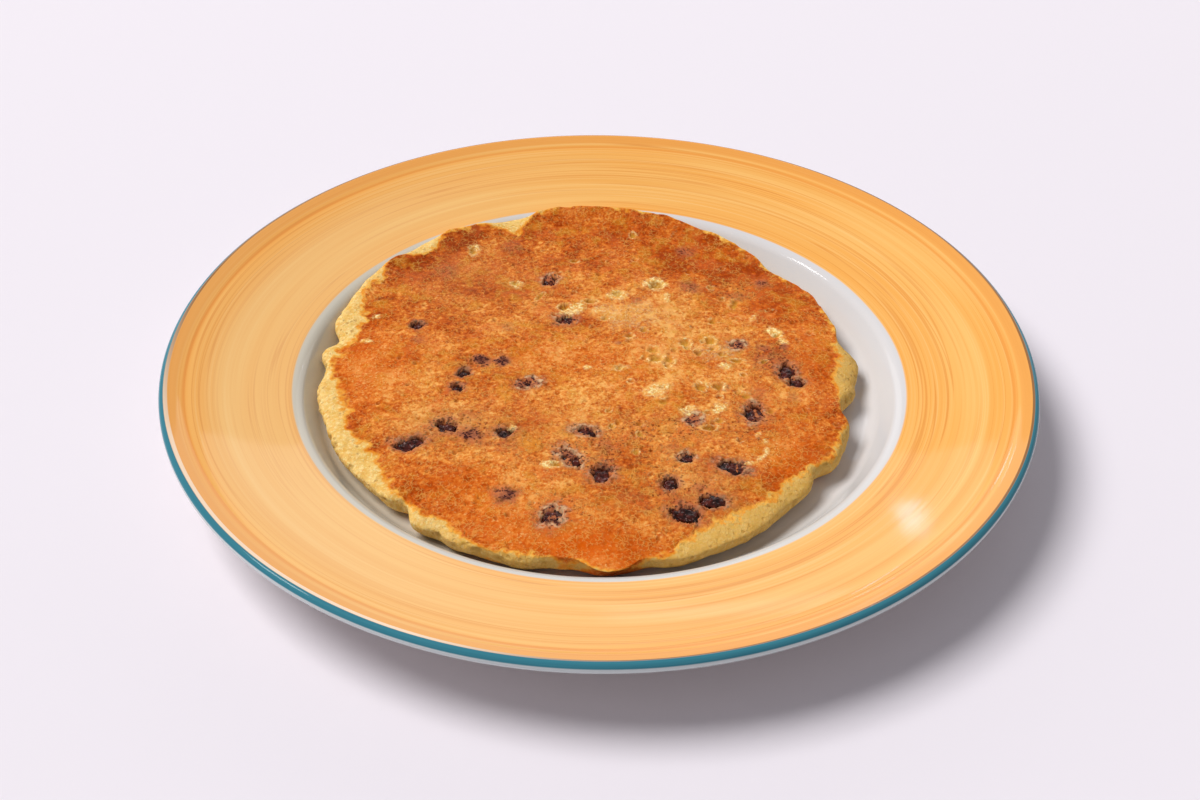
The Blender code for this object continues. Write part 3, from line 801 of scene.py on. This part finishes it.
def plain_floor():
    """A matt pale board."""
    made, shader, _ = finish_of("pale_floor")
    shader.inputs["Base Color"].default_value = hue(240, 234, 242)
    shader.inputs["Roughness"].default_value = 0.75
    return made


bpy.ops.mesh.primitive_plane_add(size=FLOOR_SIZE)
table = bpy.context.object
table.name = "floor"
table.data.materials.append(plain_floor())

room = bpy.data.worlds.new("soft_room")
room.use_nodes = True
room.node_tree.nodes["Background"].inputs["Color"].default_value = (0.97, 0.96, 1.0, 1.0)
room.node_tree.nodes["Background"].inputs["Strength"].default_value = 0.28
bpy.context.scene.world = room


def aimed(name, lamp, towards, distance):
    """A lamp that shines on the plate from a direction."""
    made = bpy.data.objects.new(name, lamp)
    bpy.context.scene.collection.objects.link(made)
    aim = Vector(towards).normalized()
    made.location = aim * distance
    made.rotation_euler = aim.to_track_quat("Z", "Y").to_euler()
    return made


def pane(name, towards, distance, size, power):
    """A small bright panel, which shows as a soft gleam in the glaze."""
    lamp = bpy.data.lights.new(name, "AREA")
    lamp.shape = "RECTANGLE"
    lamp.size, lamp.size_y = size
    lamp.energy = power
    return aimed(name, lamp, towards, distance)


day = bpy.data.lights.new("day", "SUN")
day.energy = 2.62
day.angle = math.radians(32)
day.color = (1.0, 0.99, 0.97)
aimed("day", day, (-0.55, 0.13, 0.825), 1.5).visible_glossy = False
high_pane = pane("high_pane", (0.182, 0.815, 0.55), 0.45, (0.005, 0.015), 0.0013)
high_pane.data.color = (0.62, 0.7, 1.0)
pane("low_pane", (0.026, 0.915, 0.402), 1.6, (0.08, 0.04), 0.008)
pane("left_window", (-0.5, 0.3, 0.81), 1.5, (0.3, 0.2), 1.4)
pane("far_wall", (0.0, 0.92, 0.40), 1.7, (2.6, 0.6), 3.8)


# Camera: as the photo was taken, from the plate's front and 38 degrees above the table.
ELEVATION = 37.98
ROLL = 0.67
CAMERA_DISTANCE = 561.5
CAMERA_OFFSET = (-0.10, 14.07)
AIM_HEIGHT = 22.0
LENS = 54.0

rise, tilt = math.radians(ELEVATION), math.radians(ROLL)
away = Vector((0, -math.cos(rise), math.sin(rise)))
level_right = Vector((1, 0, 0))
level_up = away.cross(level_right)
right = level_right * math.cos(tilt) + level_up * math.sin(tilt)
up = level_up * math.cos(tilt) - level_right * math.sin(tilt)
stand = away * CAMERA_DISTANCE - right * CAMERA_OFFSET[0] - up * CAMERA_OFFSET[1]
stand += Vector((0, 0, AIM_HEIGHT))
lens = bpy.data.cameras.new("camera")
lens.lens = LENS
lens.sensor_width = 36.0
lens.clip_start = 0.01
camera = bpy.data.objects.new("camera", lens)
bpy.context.scene.collection.objects.link(camera)
camera.matrix_world = Matrix.Translation(stand * MM) @ Matrix((right, up, away)).transposed().to_4x4()
bpy.context.scene.camera = camera
bpy.context.scene.view_settings.view_transform = "Standard"
